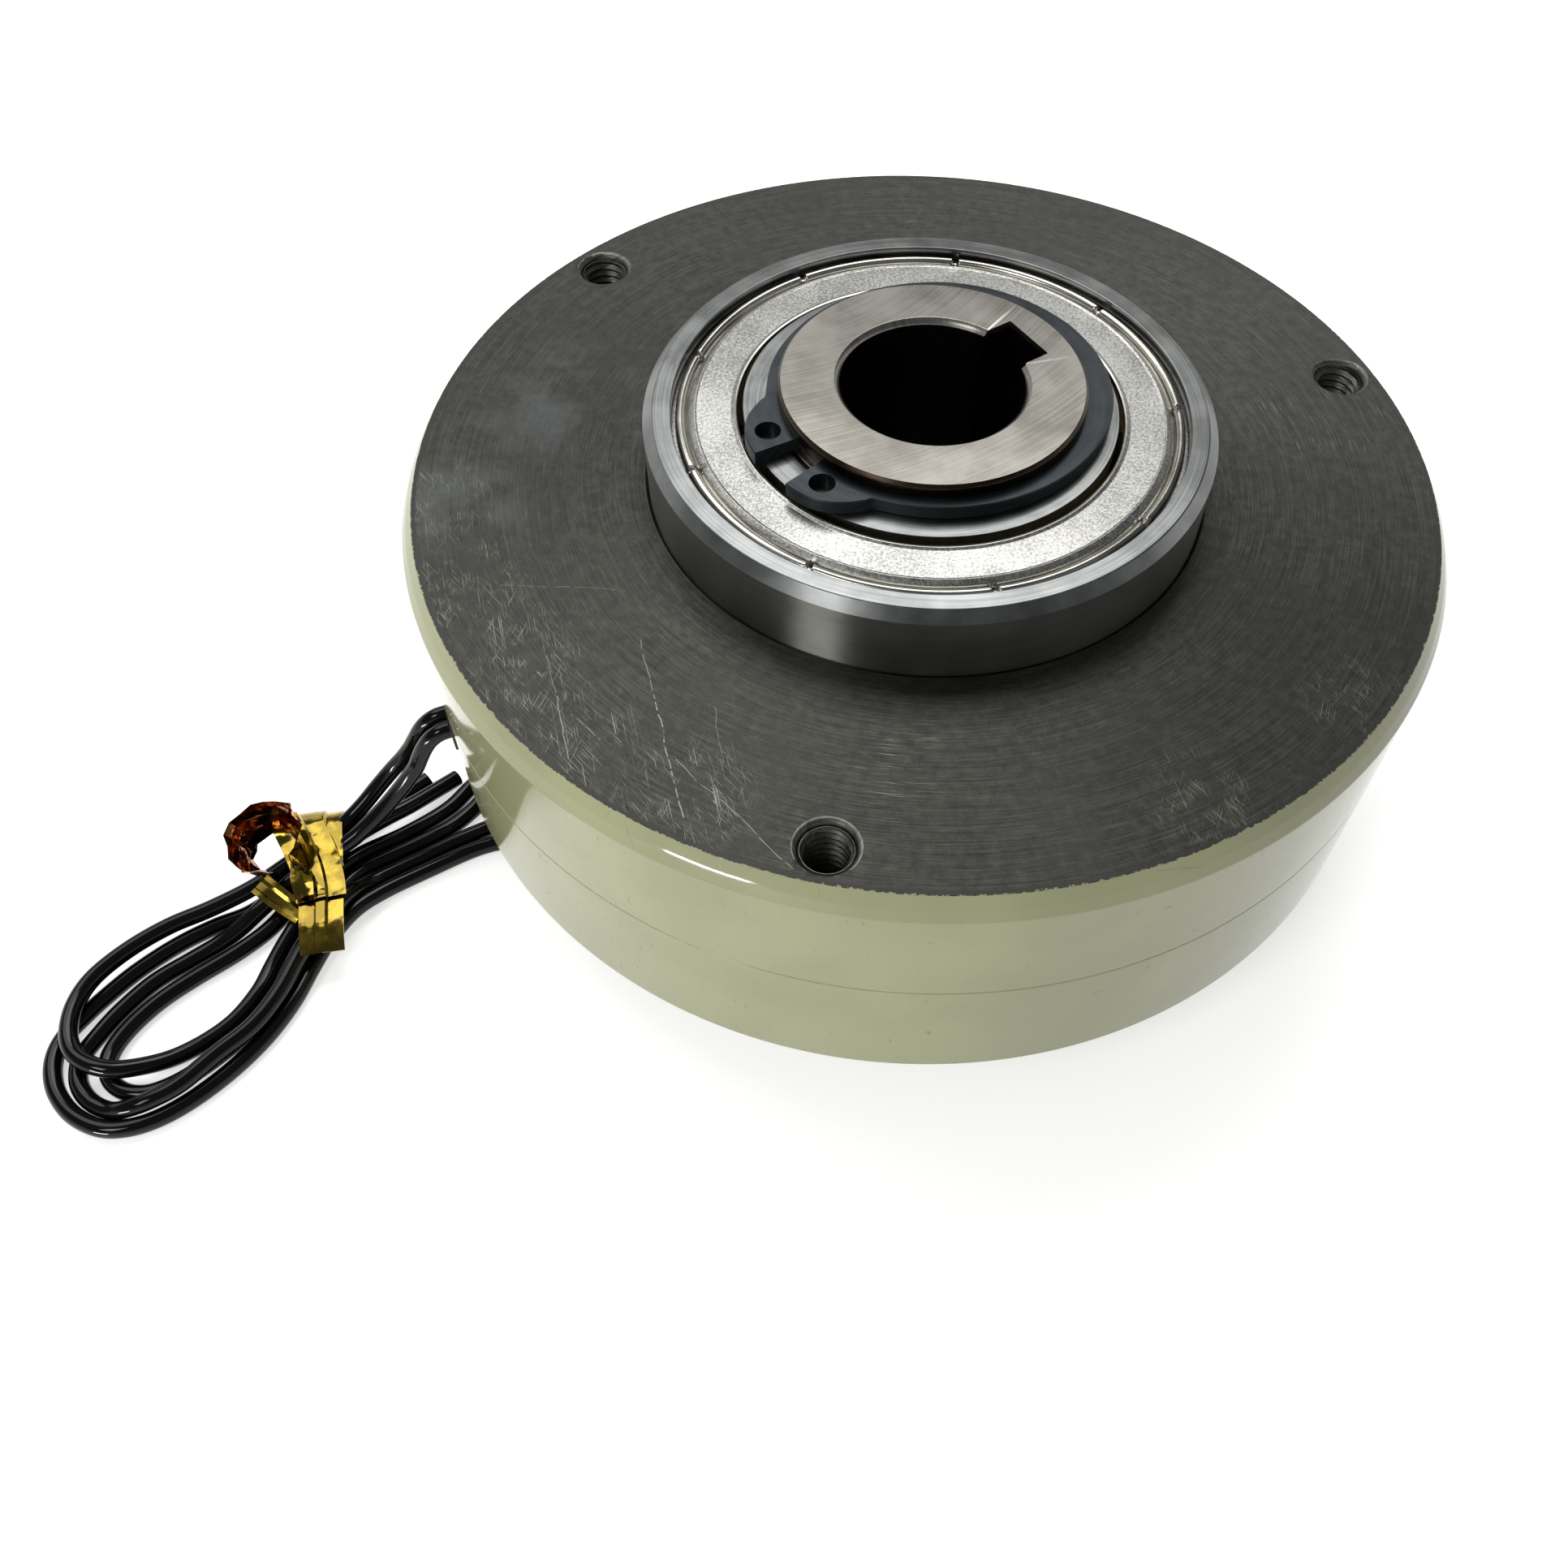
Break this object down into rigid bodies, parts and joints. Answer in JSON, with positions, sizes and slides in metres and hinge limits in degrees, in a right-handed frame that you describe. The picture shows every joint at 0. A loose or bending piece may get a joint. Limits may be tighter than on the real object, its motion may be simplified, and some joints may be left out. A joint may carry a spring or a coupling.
{
  "type": "magnetic powder brake",
  "caption": "Compact magnetic powder brake with a painted two-part stator, a hollow keyed shaft on shielded bearings, tapped face holes and two tied leads.",
  "frame": {"origin": "on the shaft axis, in the plane of the rear boss that the brake stands on", "axes": "+Z along the shaft, out of the mounting face; one mounting hole lies on -Y"},
  "size_m": [0.1107, 0.1065, 0.0418],
  "materials": {
    "stator_paint": "glossy sage green paint over steel, mounting face bare",
    "bearing_steel": "ground",
    "shield_steel": "zinc plated, pressed",
    "ball_steel": "polished",
    "cage_plastic": "moulded",
    "shaft_steel": "ground",
    "clip_steel": "blackened spring steel",
    "screw_steel": "black oxide",
    "rotor_iron": "turned",
    "gap_brass": "turned",
    "copper_wire": "enamelled copper winding",
    "bobbin_plastic": "moulded",
    "powder_iron": "loose powder",
    "felt": "felt",
    "grommet_rubber": "moulded",
    "lead_pvc": "glossy black PVC",
    "tie_foil": "gold foil over a wire core"
  },
  "bodies": {
    "stator": {"front_stator_half": "stator_paint", "rear_stator_half": "stator_paint", "gap_ring": "gap_brass", "coil_bobbin": "bobbin_plastic", "coil_winding": "copper_wire", "coil_tails": "lead_pvc", "housing_screws": "screw_steel", "lead_grommet": "grommet_rubber", "powder_charge": "powder_iron", "front_powder_seal": "felt", "rear_powder_seal": "felt", "front_outer_ring": "bearing_steel", "front_outer_shield": "shield_steel", "front_inner_shield": "shield_steel", "rear_outer_ring": "bearing_steel", "rear_outer_shield": "shield_steel", "rear_inner_shield": "shield_steel", "lead_run_a": "lead_pvc", "lead_run_b": "lead_pvc", "lead_tail": "lead_pvc", "lead_hank": "lead_pvc", "twist_tie": "tie_foil"},
    "rotor": {"hollow_shaft": "shaft_steel", "rotor_drum": "rotor_iron", "rotor_screws": "screw_steel", "front_inner_ring": "bearing_steel", "rear_inner_ring": "bearing_steel", "front_circlip": "clip_steel", "rear_circlip": "clip_steel"},
    "front_ball_set": {"front_cage": "cage_plastic", "front_balls": "ball_steel"},
    "rear_ball_set": {"rear_cage": "cage_plastic", "rear_balls": "ball_steel"}
  },
  "joints": [
    {"name": "shaft_spin", "type": "hinge", "parent": "stator", "child": "rotor", "pos_m": [0, 0, 0], "axis": [0, 0, 1], "continuous": true},
    {"name": "front_cage_spin", "type": "hinge", "parent": "stator", "child": "front_ball_set", "pos_m": [0, 0, 0], "axis": [0, 0, 1], "continuous": true},
    {"name": "rear_cage_spin", "type": "hinge", "parent": "stator", "child": "rear_ball_set", "pos_m": [0, 0, 0], "axis": [0, 0, 1], "continuous": true}
  ],
  "couplings": [
    {"joint": "front_cage_spin", "follows": "shaft_spin", "ratio": 0.4028},
    {"joint": "rear_cage_spin", "follows": "shaft_spin", "ratio": 0.4028}
  ]
}
